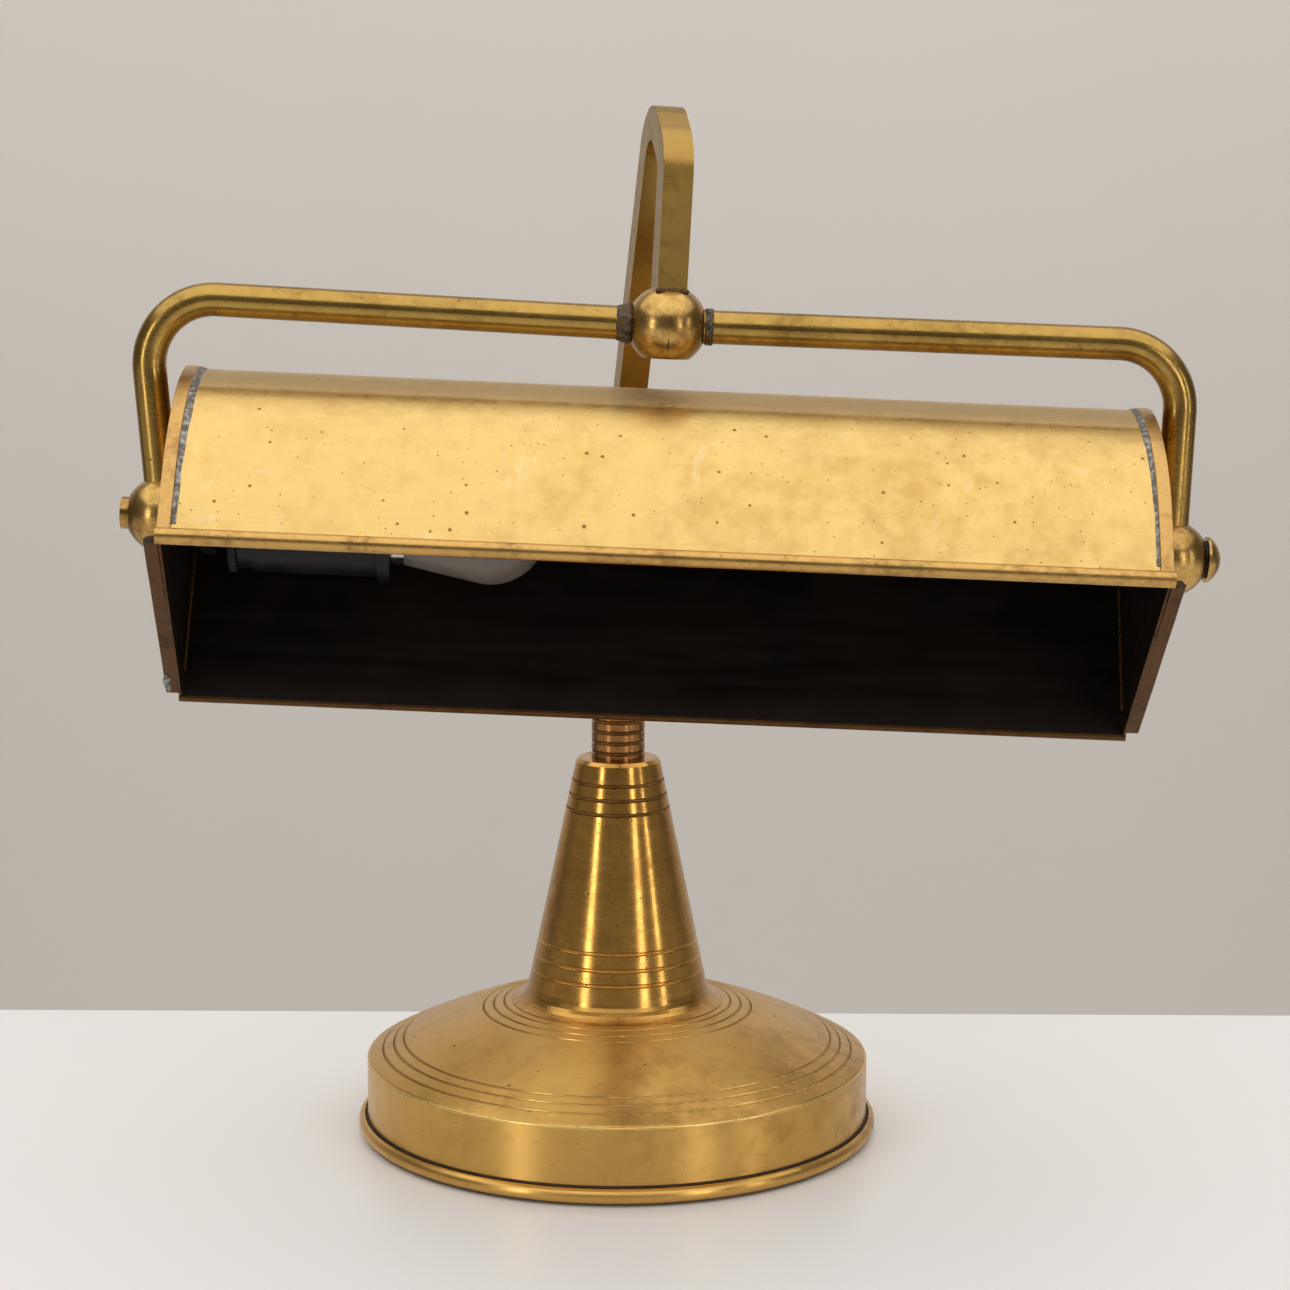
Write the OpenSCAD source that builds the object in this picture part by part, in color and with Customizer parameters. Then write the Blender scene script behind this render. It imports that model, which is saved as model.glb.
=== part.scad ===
// Brass desk lamp: a weighted turned base, a swivelling knuckle, a crooked bar arm,
// a yoke of bent tube and a tilting trough shade with its lampholder and bulb.
// Millimetres, +Z up. The origin is the middle of the base's underside, and -Y is the front.
// The head is drawn in nested frames: fork (turned), arm (turned and leaning), yoke.

/* [Base] */
// Radius of the upright skirt
skirt_r = 87.2; // [75:0.2:100]
// Height of the skirt's top edge
skirt_top = 26; // [22:0.2:34]
// Radius of the rolled bead round the foot
bead_r = 2.5; // [2:0.1:4]
// Wall of the spun shell
shell_t = 1.6; // [1:0.1:2.5]
// Slope of the dome at its outer edge
dome_slope = 0.537; // [0.5:0.001:0.65]
// How fast the dome flattens towards the middle, per millimetre
dome_flattening = 0.003; // [0.002:0.0001:0.0045]
// Size of the cove where the pedestal meets the dome
foot_cove = 5; // [2:0.5:7]
// Thickness of the cast weight
weight_t = 10; // [8:1:14]
// Thickness of the felt
felt_t = 1.6; // [1.2:0.1:2]

/* [Pedestal and neck] */
// Height of the pedestal's flat top
cone_top = 131; // [120:1:150]
// Radius of the pedestal at its top
cone_top_r = 14.6; // [13.5:0.1:17]
// How much the pedestal's radius grows for each millimetre down
cone_taper = 0.206; // [0.17:0.001:0.23]
// Radius of the neck column and the fork
neck_r = 9.2; // [8.8:0.1:11]
// Height of the knuckle's pin above the table
knuckle_z = 224; // [210:1:240]

/* [Arm] */
// Width of the flat bar, across the lamp
bar_w = 9.5; // [8:0.5:11]
// Thickness of the flat bar, front to back
bar_t = 11; // [9:0.5:13]
// How far the arm is turned on its swivel, in degrees
arm_turn = 10.1; // [0:0.1:20]
// How far the arm leans to the right, in degrees
arm_lean = 2.9; // [0:0.05:6]
// Forward slope of the back leg from upright, in degrees
back_slope = 18.76; // [16:0.01:22]
// Slope of the crook's top above level, in degrees
crook_slope = 30; // [20:1:40]
// Centreline radius of the bend over the front leg
front_bend_r = 12; // [9:0.5:14]
// Centreline radius of the bend over the back leg
back_bend_r = 14; // [10:0.5:18]
// Distance of the front leg in front of the knuckle's pin
reach = 72.2; // [70:0.1:80]
// Height of the yoke's middle ball above the knuckle's pin
ball_rise = 58.5; // [50:0.5:62]
// Height of the crook's top above the knuckle's pin
crook_top = 127; // [122:0.5:136]

/* [Yoke] */
// Radius of the middle ball
ball_r = 12.7; // [12:0.1:14]
// Radius of the side balls
side_ball_r = 12.2; // [11.5:0.1:13]
// Outer radius of the yoke's tube
tube_r = 5.3; // [5:0.1:6]
// Wall of the yoke's tube
tube_wall = 1; // [0.8:0.1:1.5]
// Centreline radius of the yoke's bends
yoke_bend_r = 20.4; // [16:0.2:26]
// Height of the middle ball above the shade's pivot
yoke_rise = 66.5; // [64:0.5:75]
// Where the middle ball sits left (-) or right (+) of the shade's middle
ball_offset = -1.7; // [-4:0.1:4]
// How far each half of the yoke rises outward, left then right, in degrees
half_rise = [0.7, 0.3]; // [0:0.1:3]
// How far each leg leans inward at its foot, left then right, in degrees
leg_lean = [7, 0]; // [0:0.5:9]
// Gap from each side ball's middle to the shade's end, left then right
side_gap = [5.8, 9.7]; // [5:0.1:13]
// Turn of the yoke on the arm, in degrees
yoke_turn = -9.1; // [-12:0.1:0]
// Lean of the yoke against the arm, in degrees
yoke_lean = -0.5; // [-3:0.05:0]

/* [Shade] */
// Length of the shade
shade_l = 304; // [290:1:320]
// Sheet thickness
sheet_t = 0.9; // [0.8:0.1:1.2]
// Middle of the front lip: distance in front of the pivot and height above it
front_lip_at = [-59.5, -0.2]; // [-65:0.1:5]
// Heading of the front wall as it leaves the lip, in degrees
front_heading = 63.2; // [60:0.1:66]
// Radii of the shade's section, front to back
section_radii = [187.5, 65, 36.3]; // [30:0.5:200]
// How far each of them turns, in degrees
section_turns = [6.6, 45.9, 130.3]; // [5:0.1:135]
// Length of the flat rear wall
rear_wall = 59.4; // [50:0.2:66]
// Width of the end caps' turned rims
rim_w = 4.2; // [3:0.1:6]
// Radius of the rolled front lip
front_lip_r = 2.6; // [2:0.1:3.2]
// Radius of the folded rear lip
rear_lip_r = 1.5; // [1.2:0.1:2]

/* [Lampholder and bulb] */
// Radius of the lampholder's body
holder_r = 16.9; // [15:0.1:19]
// Length of the lampholder's body
holder_l = 44; // [38:1:46]
// Distance from the shade's left end to the lampholder's ring
holder_inset = 15.5; // [14:0.5:20]
// Radius of the bulb at its widest
bulb_r = 17.8; // [15:0.1:20]
// Length of the bulb's glass
bulb_l = 44.6; // [40:0.2:50]

/* [Hidden] */

fine = 96;
medium = 48;
arc_step = 3;
fit = 0.05;
gap = 0.3;
overrun = 1;

brass = [0.78, 0.6, 0.27];
aged_brass = [0.62, 0.44, 0.2];
copper_brown = [0.5, 0.32, 0.18];
iron = [0.25, 0.25, 0.26];
black = [0.05, 0.05, 0.05];
felt_green = [0.12, 0.22, 0.16];

// Base and pedestal
bead_z = felt_t - 0.6 + bead_r;
bead_centre_r = skirt_r + 0.6;
skirt_groove_z = bead_z + bead_r;
dome_inner_r = 28;
dome_drop = 1.9;
pedestal_wall = 2.6;
pedestal_boss = 10;
foot_clearance = 0.06;
foot_edge_t = 0.2;
felt_r = 84;
weight_clearance = 0.4;
weight_rim_w = 5;
channel_w = 8;
channel_h = 7;
rod_r = 5;
rod_bore_r = 3.2;
rod_top = cone_top + 28;
rod_nut_r = 9;
rod_nut_t = 5;
rod_washer_r = 10.5;
rod_washer_t = 1.6;
weight_bottom = felt_t;
weight_top = weight_bottom + weight_t;
recess_r = 11;
recess_top = weight_bottom + 0.8 + rod_nut_t + rod_washer_t;
groove_r = 0.5;
deep_groove_r = 0.75;
top_grooves = [for (i = [0:2]) cone_top - 7.5 - 4.8 * i];
foot_grooves = [67.7, 62.2, 57.1];
rim_grooves = [81.8, 78, 74.6];
crown_grooves = [46.8, 43.2, 39.6];
neck_grooves = [for (i = [0:4]) cone_top + 2.4 + 3.65 * i];
inlet_z = 16;
inlet_r = 3.5;
inlet_bush_r = 5.5;
inlet_flange_r = 7;
inlet_from = skirt_r - 7;
inlet_to = skirt_r + 2.4;

// Knuckle: heights are measured from its pin
stem_r = 5.5;
stem_l = 26;
fork_drop = 19;
swivel_washer_t = 0.8;
slot_drop = 11;
tongue_w = 6;
tongue_r = 8.4;
friction_washer_t = 0.7;
slot_w = tongue_w + 2 * friction_washer_t + 4 * fit;
cheek_r = 9;
cheek_flat = 7.8;
pin_r = 2.6;
blade_l = 15;
bar_start = 12;
swivel_z = knuckle_z - fork_drop;
retaining_z = swivel_z - 15;
retaining_r = 1.5;
retaining_groove_r = 4.4;
stop_web_w = 1;

// Arm: the middle of the bend over the back leg, then what follows from it
back_bend_z = crook_top - bar_t / 2 - back_bend_r;
back_bend_y = -(back_bend_r + back_bend_z * sin(back_slope)) / cos(back_slope);
front_bend_turn = 90 - crook_slope;
back_bend_turn = crook_slope + 90 - back_slope;
crook_l = (back_bend_y + reach - front_bend_r * (1 - sin(crook_slope))
           - back_bend_r * sin(crook_slope)) / cos(crook_slope);
front_bend_z = back_bend_z - crook_l * sin(crook_slope)
               + (back_bend_r - front_bend_r) * cos(crook_slope);
back_leg_l = norm([back_bend_y + back_bend_r * cos(back_slope),
                   back_bend_z + back_bend_r * sin(back_slope)]);
bar_seat = 7;

// Yoke and pivots: side 0 is the left one, side 1 the right one
ball_flat = 10.8;
half_spans = [shade_l / 2 + side_gap[0] + ball_offset, shade_l / 2 + side_gap[1] - ball_offset];
socket_depth = 6;
lap = 0.5;
lap_step = 0.02;
collar_from = 11.8;
collar_l = 2.7;
outer_flat = 10.5;
pivot_washer_t = 1.2;
pivot_washer_r = 7;
nipple_r = 4;
nipple_bore_r = 2.6;
cap_nut_r = 5.1;
cap_nut_l = 2.8;
screw_r = 3;
knob_r = 7.3;
knob_l = 4.8;
knob_washer_t = 0.8;

// Shade
cap_t = 1;
rim_t = 0.8;
flange_inset = 0.1;
front_end = section(0)[0];
rear_end = section(0)[len(section(0)) - 1];
chord_angle = atan2(rear_end[1] - front_end[1], rear_end[0] - front_end[0]);
chord_l = norm(rear_end - front_end);
wire_r = 1.3;

// Lampholder and bulb: distances along the pivot, from the shade's left end
spacer_l = 5.5;
spacer_r = 8;
lock_nut_r = 12;
lock_nut_l = 4.5;
holder_ring_l = 3.2;
holder_ring_r = 17.5;
holder_neck_l = 5;
holder_neck_r = 15.9;
holder_floor = 8;
holder_bore_r = 14.5;
flange_l = 3.8;
flange_r = 18.7;
shell_r = 13.6;
bulb_cap_r = 12.8;
bulb_cap_l = 31;
bulb_wall = 0.8;
ring_at = holder_inset;
body_at = ring_at + holder_ring_l;
flange_at = body_at + holder_l;
glass_at = flange_at + flange_l + 4.2;
cap_at = glass_at - bulb_cap_l;

// Height of the dome at radius r
function dome_z(r) = skirt_top + dome_slope * (skirt_r - r) - dome_flattening * pow(skirt_r - r, 2);

// Radius of the pedestal at height z
function cone_r_at(z) = cone_top_r + cone_taper * (cone_top - z);

// Distance inward from the skirt at which the pedestal's side would meet the dome
function foot_distance() =
    let (climb = 1 / cone_taper - dome_slope,
         rest = skirt_top - cone_top + (skirt_r - cone_top_r) / cone_taper)
    (sqrt(climb * climb + 4 * dome_flattening * rest) - climb) / (2 * dome_flattening);

// Points of a cove that leaves a, turns at the corner and arrives at b
function cove(a, corner, b) =
    [for (k = [0:6]) let (t = k / 6) pow(1 - t, 2) * a + 2 * t * (1 - t) * corner + t * t * b];

// Points of a path of clockwise bends. Each step is [straight length, radius, turn],
// and the path runs to the right of its steps by the distance inward.
function path_points(at, heading, steps, inward, i = 0) =
    i == len(steps) ? [at] :
    let (bend_start = at + steps[i][0] * [cos(heading), sin(heading)],
         r = steps[i][1] - inward,
         turn = steps[i][2],
         centre = bend_start + r * [sin(heading), -cos(heading)],
         count = ceil(turn / arc_step),
         turned = heading - turn)
    concat(steps[i][0] > 0 ? [at] : [],
           [for (k = [0:1:count - 1])
                let (a = heading - turn * k / count) centre + r * [-sin(a), cos(a)]],
           path_points(centre + r * [-sin(turned), cos(turned)], turned, steps, inward, i + 1));

function side_path(at, heading, steps, inward) =
    path_points(at + inward * [sin(heading), -cos(heading)], heading, steps, inward);

// The shade's section in the Y-Z plane, moved inward by a distance
function section(inward) =
    let (steps = concat([for (i = [0:2]) [0, section_radii[i], section_turns[i]]], [[rear_wall, 0, 0]]))
    side_path(front_lip_at, front_heading, steps, inward);

function reversed(points) = [for (i = [len(points) - 1:-1:0]) points[i]];

// Lengths of the straight parts of one half of the yoke: [crossbar, leg]
function yoke_straights(span, rise, lean) =
    let (across = span - yoke_bend_r * (sin(rise) + cos(lean)),
         down = yoke_bend_r * (cos(rise) + sin(lean)) - yoke_rise,
         scale = cos(rise + lean))
    [(across * cos(lean) - sin(lean) * down) / scale,
     (sin(rise) * across - cos(rise) * down) / scale];

// Frames that nest: the fork turns on the neck, the arm leans in it, the yoke hangs from the arm
module in_fork() {
    translate([0, 0, knuckle_z]) rotate([0, 0, arm_turn]) children();
}

module in_arm() {
    in_fork() rotate([0, arm_lean, 0]) children();
}

module at_ball() {
    in_arm() translate([0, -reach, ball_rise]) children();
}

module in_yoke() {
    at_ball() rotate([0, yoke_lean, yoke_turn]) translate([-ball_offset, 0, -yoke_rise]) children();
}

// The pivot line, from the shade's left end towards the right
module along_pivot(distance) {
    in_yoke() translate([distance - shade_l / 2, 0, 0]) rotate([0, 90, 0]) children();
}

// Swept parts start upwards and bend towards +Y
module after_bend(radius, turn) {
    translate([0, radius * (1 - cos(turn)), radius * sin(turn)]) rotate([-turn, 0, 0]) children();
}

module bend(radius, turn) {
    translate([0, radius, 0]) rotate([90, 0, -90]) rotate_extrude(angle = turn, $fn = fine)
        translate([radius, 0]) children();
}

module ring(outer, inner, height) {
    difference() {
        cylinder(h = height, r = outer, $fn = fine);
        translate([0, 0, -overrun]) cylinder(h = height + 2 * overrun, r = inner, $fn = fine);
    }
}

module hex_nut(radius, bore, height) {
    difference() {
        cylinder(h = height, r = radius, $fn = 6);
        translate([0, 0, -overrun]) cylinder(h = height + 2 * overrun, r = bore, $fn = medium);
    }
}

// Base

module base_shell() {
    dome = [for (r = [skirt_r - 1:-3:dome_inner_r]) [r, dome_z(r)]];
    underside = [for (p = reversed(dome)) [p[0], p[1] - dome_drop]];
    inner_r = skirt_r - shell_t;
    color(brass) difference() {
        rotate_extrude($fn = fine) difference() {
            union() {
                polygon(concat([[skirt_r, bead_z], [skirt_r, skirt_top - 0.6]], dome, underside,
                               [[inner_r, skirt_top - dome_drop], [inner_r, bead_z]]));
                translate([bead_centre_r, bead_z]) circle(r = bead_r, $fn = medium);
            }
            translate([skirt_r + 0.3, skirt_groove_z]) circle(r = deep_groove_r, $fn = medium);
            for (r = concat(rim_grooves, crown_grooves))
                translate([r, dome_z(r) + 0.1]) circle(r = groove_r, $fn = medium);
        }
        at_inlet() cylinder(h = skirt_r, r = inlet_bush_r, $fn = medium);
    }
}

module at_inlet() {
    translate([0, inlet_from, inlet_z]) rotate([-90, 0, 0]) children();
}

module pedestal_cone() {
    inner_top = cone_top - pedestal_boss;
    foot_r = skirt_r - foot_distance();
    foot_z = dome_z(foot_r);
    cove_r = foot_r + foot_cove;
    inner_r = foot_r - pedestal_wall;
    side = cove([cone_r_at(foot_z + foot_cove), foot_z + foot_cove], [foot_r, foot_z],
                [cove_r, dome_z(cove_r) + foot_clearance + foot_edge_t]);
    color(brass) rotate_extrude($fn = fine) difference() {
        polygon(concat([[cone_top_r - 1.2, cone_top], [rod_r, cone_top], [rod_r, inner_top],
                        [cone_r_at(inner_top) - pedestal_wall, inner_top],
                        [inner_r, dome_z(inner_r) + foot_clearance],
                        [foot_r, foot_z + foot_clearance],
                        [cove_r, dome_z(cove_r) + foot_clearance]],
                       reversed(side), [[cone_top_r, cone_top - 1.2]]));
        for (z = concat(top_grooves, foot_grooves))
            translate([cone_r_at(z) + 0.1, z]) circle(r = deep_groove_r, $fn = medium);
    }
}

module base_weight() {
    outer_r = bead_centre_r - bead_r - weight_clearance;
    rim_top = skirt_top - dome_drop - weight_clearance;
    color(iron) difference() {
        rotate_extrude($fn = fine) polygon([
            [rod_r + weight_clearance, recess_top], [recess_r, recess_top],
            [recess_r, weight_bottom], [outer_r, weight_bottom], [outer_r, rim_top],
            [outer_r - weight_rim_w, rim_top], [outer_r - weight_rim_w, weight_top],
            [rod_r + weight_clearance, weight_top]]);
        translate([-inlet_flange_r, inlet_from - 6, weight_bottom + channel_h - 1])
            cube([2 * inlet_flange_r, 30, 30]);
        translate([-channel_w / 2, 0, weight_bottom - overrun])
            cube([channel_w, skirt_r, channel_h + overrun]);
    }
}

module felt_pad() {
    color(felt_green) cylinder(h = felt_t, r = felt_r, $fn = fine);
}

module tie_rod() {
    color(brass) translate([0, 0, weight_bottom + 0.5])
        ring(rod_r, rod_bore_r, rod_top - weight_bottom - 0.5);
}

module tie_rod_nut() {
    color(brass) translate([0, 0, weight_bottom + 0.8]) hex_nut(rod_nut_r, rod_r, rod_nut_t);
}

module tie_rod_washer() {
    color(iron) translate([0, 0, weight_bottom + 0.8 + rod_nut_t]) ring(rod_washer_r, rod_r, rod_washer_t);
}

module neck_column() {
    top = swivel_z - swivel_washer_t;
    color(copper_brown) difference() {
        rotate_extrude($fn = fine) difference() {
            polygon([[rod_r, cone_top], [neck_r, cone_top], [neck_r, top], [stem_r + fit, top],
                     [stem_r + fit, swivel_z - stem_l - 2], [rod_bore_r, swivel_z - stem_l - 2],
                     [rod_bore_r, rod_top], [rod_r, rod_top]]);
            for (z = neck_grooves)
                translate([neck_r + 0.2, z]) circle(r = deep_groove_r, $fn = medium);
        }
        translate([0, 0, retaining_z]) rotate([-90, 0, 0])
            cylinder(h = 2 * neck_r, r = retaining_r, $fn = medium);
    }
}

module swivel_screw() {
    color(brass) translate([0, 0, retaining_z]) rotate([-90, 0, 0]) difference() {
        union() {
            translate([0, 0, retaining_groove_r + 0.2])
                cylinder(h = neck_r - retaining_groove_r, r = retaining_r, $fn = medium);
            translate([0, 0, neck_r]) cylinder(h = 3, r = 3.6, $fn = medium);
        }
        translate([-5, -0.5, neck_r + 2]) cube([10, 1, 2]);
    }
}

module cord_inlet_bush() {
    color(black) at_inlet() difference() {
        union() {
            cylinder(h = inlet_to - inlet_from, r = inlet_bush_r, $fn = medium);
            translate([0, 0, skirt_r - inlet_from])
                cylinder(h = inlet_to - skirt_r, r = inlet_flange_r, $fn = medium);
        }
        translate([0, 0, -overrun]) cylinder(h = 30, r = inlet_r, $fn = medium);
    }
}

// Knuckle: the fork swivels in the neck and holds the arm's tongue

module across_pin(from, length, radius) {
    translate([from, 0, 0]) rotate([0, 90, 0]) cylinder(h = length, r = radius, $fn = fine);
}

module fork_head() {
    color(brass) in_fork() difference() {
        union() {
            intersection() {
                translate([0, 0, -fork_drop])
                    cylinder(h = fork_drop + cheek_r, r = neck_r, $fn = fine);
                union() {
                    across_pin(-cheek_flat, 2 * cheek_flat, cheek_r);
                    translate([-cheek_flat, -neck_r, -slot_drop])
                        cube([2 * cheek_flat, 2 * neck_r, slot_drop]);
                    translate([-neck_r, -neck_r, -fork_drop])
                        cube([2 * neck_r, 2 * neck_r, fork_drop - slot_drop]);
                }
            }
            translate([0, 0, -fork_drop - stem_l]) cylinder(h = stem_l, r = stem_r, $fn = fine);
        }
        translate([-slot_w / 2, -2 * neck_r, -slot_drop]) cube([slot_w, 4 * neck_r, 4 * neck_r]);
        across_pin(-2 * neck_r, 4 * neck_r, pin_r);
        translate([0, 0, retaining_z - knuckle_z - retaining_r - 0.2]) retaining_groove();
    }
}

// A ring cut round the stem, broken by a web that stops the swivel at the front
module retaining_groove() {
    height = 2 * (retaining_r + 0.2);
    difference() {
        ring(stem_r + overrun, retaining_groove_r, height);
        rotate([0, 0, -arm_turn]) translate([-stop_web_w / 2, -2 * stem_r, 0])
            cube([stop_web_w, 2 * stem_r, height]);
    }
}

module swivel_washer() {
    color(iron) translate([0, 0, swivel_z - swivel_washer_t + fit])
        ring(neck_r - 0.4, stem_r + fit, swivel_washer_t - 2 * fit);
}

module knuckle_screw() {
    color(brass) in_fork() difference() {
        union() {
            across_pin(-cheek_flat - 3, 2 * cheek_flat + 8, pin_r);
            across_pin(-cheek_flat - 3, 3, 5);
        }
        translate([-cheek_flat - 3.5, -0.6, -6]) cube([1.5, 1.2, 12]);
    }
}

module knuckle_nut() {
    color(brass) in_fork() translate([cheek_flat, 0, 0]) rotate([0, 90, 0]) difference() {
        union() {
            cylinder(h = 1.5, r = 5.5, $fn = medium);
            cylinder(h = 4.5, r = 4.2, $fn = medium);
            for (side = [-1, 1])
                translate([0, side * 6, 3]) rotate([0, 0, 90]) translate([-3, -1, -1.5]) cube([6, 2, 5]);
        }
        translate([0, 0, -overrun]) cylinder(h = 10, r = pin_r, $fn = medium);
    }
}

module knuckle_washers() {
    color(iron) in_fork() for (from = [-slot_w / 2 + fit, slot_w / 2 - fit - friction_washer_t])
        difference() {
            across_pin(from, friction_washer_t, tongue_r - 0.4);
            across_pin(from - overrun, friction_washer_t + 2 * overrun, pin_r);
        }
}

// Arm

module bar(length) {
    translate([-bar_w / 2, -bar_t / 2, 0]) cube([bar_w, bar_t, length]);
}

module arm_bar() {
    color(brass) difference() {
        union() {
            in_arm() crooked_bar();
            in_fork() tongue();
        }
        in_fork() across_pin(-neck_r, 2 * neck_r, pin_r + fit);
    }
}

module crooked_bar() {
    foot = [-reach, ball_rise + bar_seat];
    steps = [[front_bend_z - foot[1], front_bend_r, front_bend_turn],
             [crook_l, back_bend_r, back_bend_turn],
             [back_leg_l - bar_start, 0, 0]];
    translate([-bar_w / 2, 0, 0]) rotate([90, 0, 90]) linear_extrude(bar_w)
        polygon(concat(side_path(foot, 90, steps, -bar_t / 2),
                       reversed(side_path(foot, 90, steps, bar_t / 2))));
}

module tongue() {
    across_pin(-tongue_w / 2, tongue_w, tongue_r);
    rotate([back_slope, 0, 0]) translate([-tongue_w / 2, -bar_t / 2, 0]) cube([tongue_w, bar_t, blade_l]);
}

module centre_ball() {
    color(brass) at_ball() difference() {
        sphere(r = ball_r, $fn = fine);
        translate([0, 0, bar_seat]) bar(ball_r);
        rotate([0, yoke_lean, yoke_turn]) {
            translate([-ball_r, -ball_r, -2 * ball_r - ball_flat + overrun / 2]) cube(2 * ball_r);
            for (side = [0, 1])
                half_yoke(side) translate([0, 0, ball_r - socket_depth])
                    cylinder(h = ball_r, r = tube_r, $fn = fine);
        }
    }
}

// Yoke: each half leaves the middle ball outward and bends down to its side ball

module half_yoke(side) {
    mirror([1 - side, 0, 0]) rotate([0, 90, 0]) rotate([half_rise[side], 0, -90]) children();
}

module bent_tube(side, radius, extra) {
    straights = yoke_straights(half_spans[side], half_rise[side], leg_lean[side]);
    start = ball_r - socket_depth;
    turn = 90 + half_rise[side] + leg_lean[side];
    translate([0, 0, start - extra])
        cylinder(h = straights[0] - start + extra + lap, r = radius + lap_step, $fn = fine);
    translate([0, 0, straights[0]]) {
        bend(yoke_bend_r, turn) circle(r = radius, $fn = fine);
        after_bend(yoke_bend_r, turn) translate([0, 0, -lap])
            cylinder(h = straights[1] - side_ball_r + socket_depth + extra + lap,
                     r = radius + lap_step, $fn = fine);
    }
}

module yoke_tube(side) {
    color(brass) in_yoke() translate([ball_offset, 0, yoke_rise]) half_yoke(side) difference() {
        bent_tube(side, tube_r, 0);
        bent_tube(side, tube_r - tube_wall, overrun);
    }
}

module left_tube() {
    yoke_tube(0);
}

module right_tube() {
    yoke_tube(1);
}

module yoke_collar() {
    color(aged_brass) in_yoke() translate([ball_offset, 0, yoke_rise]) half_yoke(1)
        translate([0, 0, collar_from]) ring(tube_r + 0.5, tube_r, collar_l);
}

module side_ball(side, bore_r) {
    outward = 2 * side - 1;
    inner_flat = side_gap[side] - pivot_washer_t - 2 * fit;
    color(brass) in_yoke() translate([outward * (shade_l / 2 + side_gap[side]), 0, 0])
        mirror([1 - side, 0, 0]) difference() {
            sphere(r = side_ball_r, $fn = fine);
            translate([outer_flat, -side_ball_r, -side_ball_r]) cube(2 * side_ball_r);
            translate([-inner_flat - 2 * side_ball_r, -side_ball_r, -side_ball_r]) cube(2 * side_ball_r);
            across_pin(-2 * side_ball_r, 4 * side_ball_r, bore_r);
            rotate([0, leg_lean[side], 0]) translate([0, 0, side_ball_r - socket_depth])
                cylinder(h = side_ball_r, r = tube_r, $fn = fine);
        }
}

module left_ball() {
    side_ball(0, nipple_r + fit);
}

module right_ball() {
    side_ball(1, screw_r + fit);
}

// Shade: sections are drawn in the Y-Z plane and extruded along the pivot

module extrude_across(from, length) {
    in_yoke() translate([from, 0, 0]) rotate([90, 0, 90]) linear_extrude(length) children();
}

module sheet_section(outer, inner) {
    polygon(concat(section(outer), reversed(section(inner))));
}

module lip_bar(at, radius, extra = 0) {
    extrude_across(-shade_l / 2 - extra, shade_l + 2 * extra)
        translate(at) circle(r = radius, $fn = medium);
}

module shade_trough() {
    color(brass) difference() {
        extrude_across(cap_t - shade_l / 2, shade_l - 2 * cap_t) sheet_section(rim_t, rim_t + sheet_t);
        lip_bar(front_end, front_lip_r);
        lip_bar(rear_end, rear_lip_r);
    }
}

module end_cap(side, hole_r) {
    outward = 2 * side - 1;
    color(brass) difference() {
        union() {
            difference() {
                union() {
                    extrude_across(outward * shade_l / 2 - side * cap_t, cap_t) polygon(section(0));
                    extrude_across(outward * shade_l / 2 - side * rim_w, rim_w) sheet_section(0, rim_t);
                }
                lip_bar(front_end, front_lip_r, overrun);
                lip_bar(rear_end, rear_lip_r, overrun);
            }
            extrude_across(outward * shade_l / 2 - (1 - side) * rim_w - side * cap_t, rim_w + cap_t)
                translate(front_end) rotate(chord_angle) translate([front_lip_r + gap, flange_inset])
                    square([chord_l - front_lip_r - rear_lip_r - 2 * gap, cap_t]);
        }
        in_yoke() across_pin(-shade_l, 2 * shade_l, hole_r);
    }
}

module left_end_cap() {
    end_cap(0, nipple_r);
}

module right_end_cap() {
    end_cap(1, screw_r + gap);
}

module front_lip() {
    color(aged_brass) difference() {
        lip_bar(front_end, front_lip_r);
        lip_bar(front_end, wire_r);
    }
}

module front_lip_wire() {
    color(iron) lip_bar(front_end, wire_r);
}

module rear_lip() {
    color(copper_brown) lip_bar(rear_end, rear_lip_r);
}

// Pivots: a hollow nipple on the left carries the lampholder, a clamp screw on the right grips

module pivot_nipple() {
    start = -side_gap[0] - outer_flat - 1;
    color(brass) along_pivot(start) ring(nipple_r, nipple_bore_r, body_at + 4 - start);
}

module pivot_cap_nut() {
    color(brass) along_pivot(-side_gap[0] - outer_flat - fit - cap_nut_l) difference() {
        cylinder(h = cap_nut_l, r = cap_nut_r, $fn = medium);
        translate([0, 0, cap_nut_l - 1 + fit]) cylinder(h = 2, r = nipple_r, $fn = medium);
    }
}

module nipple_spacer() {
    color(brass) along_pivot(cap_t) ring(spacer_r, nipple_r, spacer_l);
}

module nipple_lock_nut() {
    color(iron) along_pivot(cap_t + spacer_l) hex_nut(lock_nut_r, nipple_r, lock_nut_l);
}

module pivot_washers() {
    color(iron) {
        along_pivot(-pivot_washer_t) ring(pivot_washer_r, nipple_r, pivot_washer_t);
        along_pivot(shade_l) ring(pivot_washer_r, screw_r + gap, pivot_washer_t);
    }
}

module clamp_screw_nut() {
    color(brass) along_pivot(shade_l - cap_t - 5) hex_nut(7, screw_r + fit, 5);
}

module clamp_screw() {
    seat = shade_l + side_gap[1] + outer_flat + knob_washer_t + 2 * fit;
    color(brass) {
        along_pivot(seat) intersection() {
            cylinder(h = knob_l, r = knob_r, $fn = fine);
            translate([0, 0, -knob_r * 0.55]) sphere(r = knob_r * 1.2, $fn = fine);
        }
        along_pivot(shade_l - cap_t - 8) cylinder(h = seat - shade_l + cap_t + 8, r = screw_r, $fn = fine);
    }
}

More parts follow.
